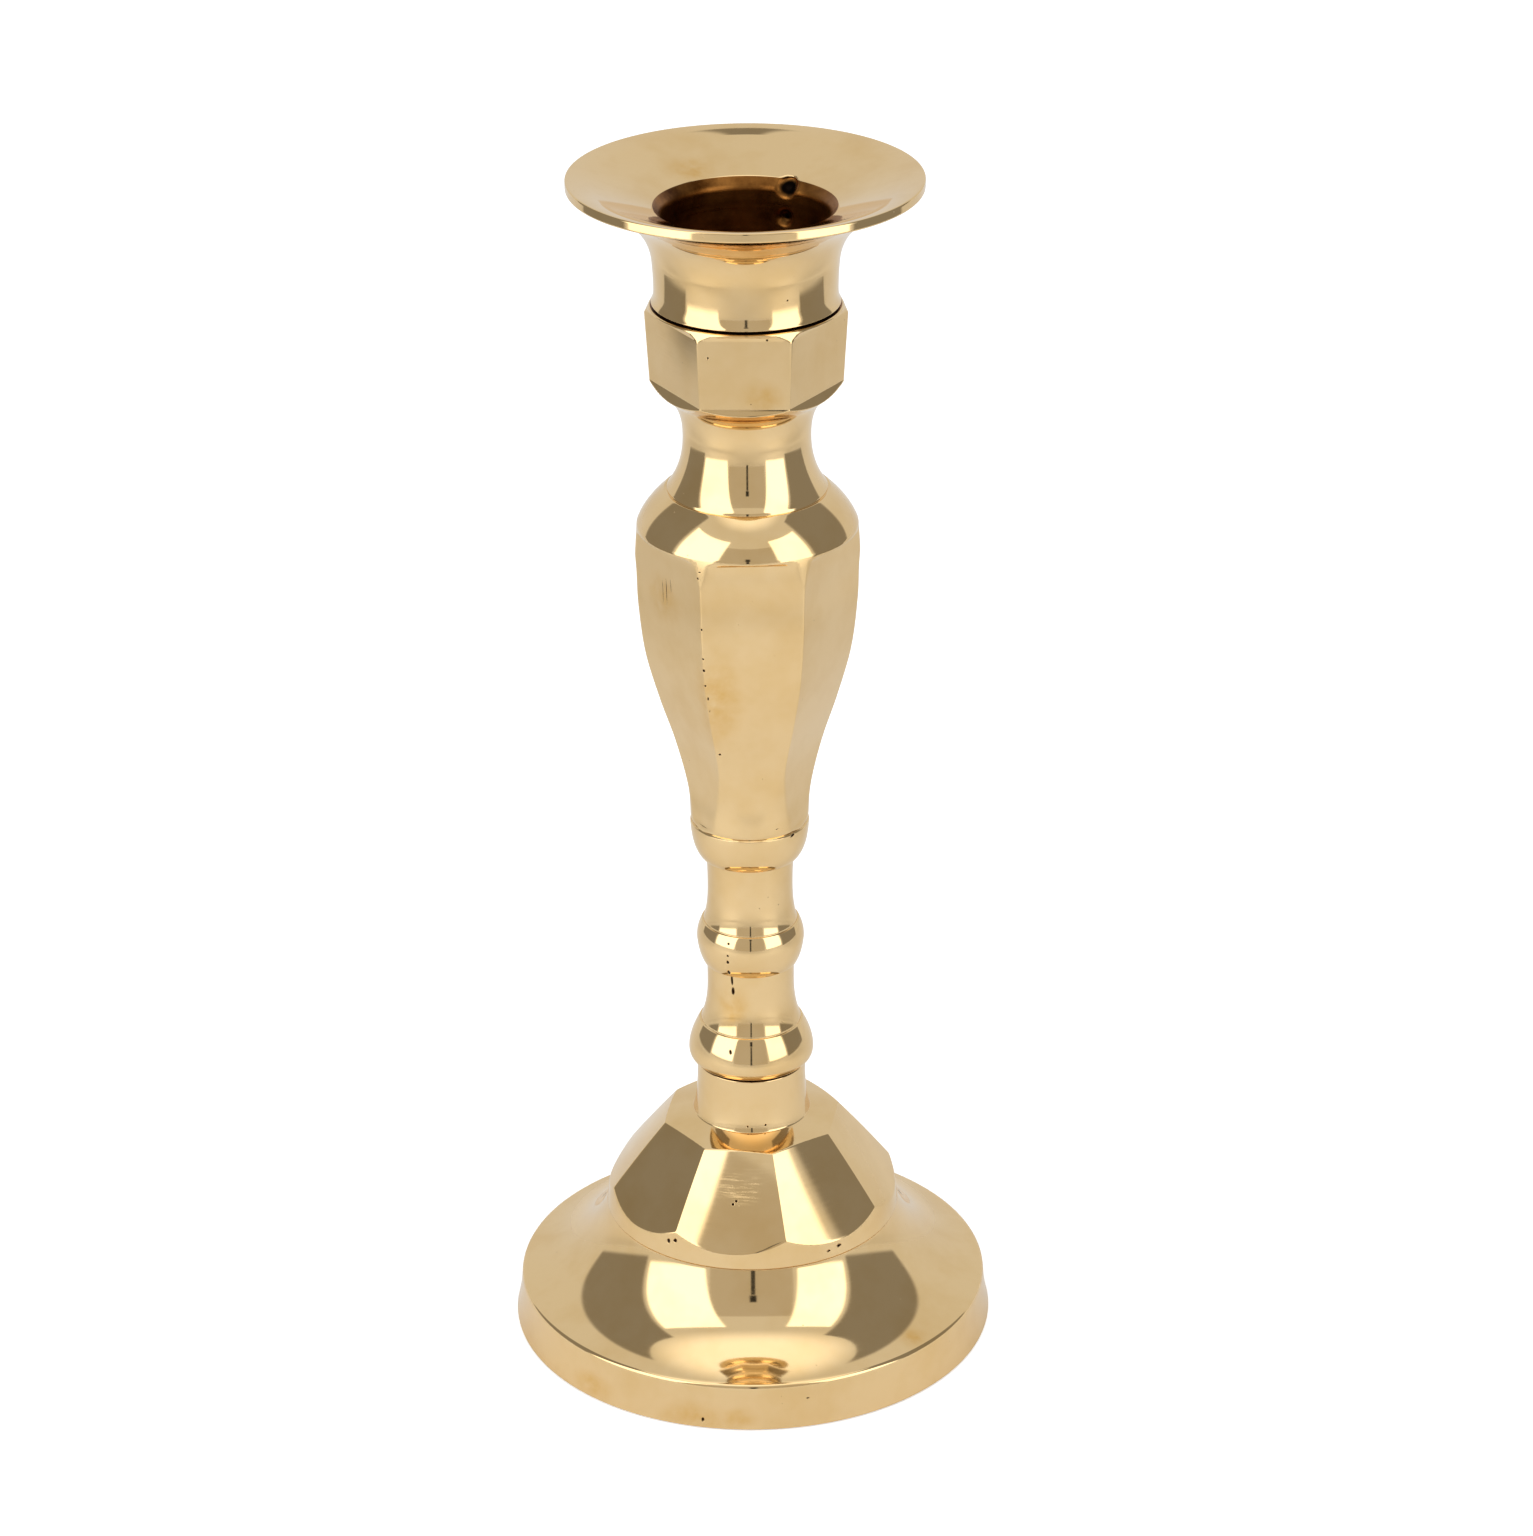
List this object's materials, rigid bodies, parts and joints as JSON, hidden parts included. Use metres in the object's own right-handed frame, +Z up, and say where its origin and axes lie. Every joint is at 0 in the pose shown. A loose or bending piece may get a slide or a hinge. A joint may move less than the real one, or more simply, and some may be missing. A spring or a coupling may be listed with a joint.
{
  "type": "candlestick",
  "caption": "Turned and faceted brass candlestick: a flared drip pan and socket on a baluster stem, screwed to a hollow domed foot.",
  "frame": {"origin": "the middle of the foot, on the surface that it stands on", "axes": "+Z up the stem, towards the drip pan; -Y faces the front flat of the stem, to within a few degrees"},
  "size_m": [0.07, 0.07, 0.174],
  "materials": {
    "polished_brass": "cast, turned and ground flats, buffed to a mirror polish, unlacquered",
    "zinced_steel": "bright zinc plated fasteners"
  },
  "bodies": {
    "root": {"candle_cup": "polished_brass", "stem": "polished_brass", "base": "polished_brass", "stem_stud": "zinced_steel", "plain_washer": "zinced_steel", "spring_washer": "zinced_steel", "hex_nut": "zinced_steel"}
  },
  "joints": []
}
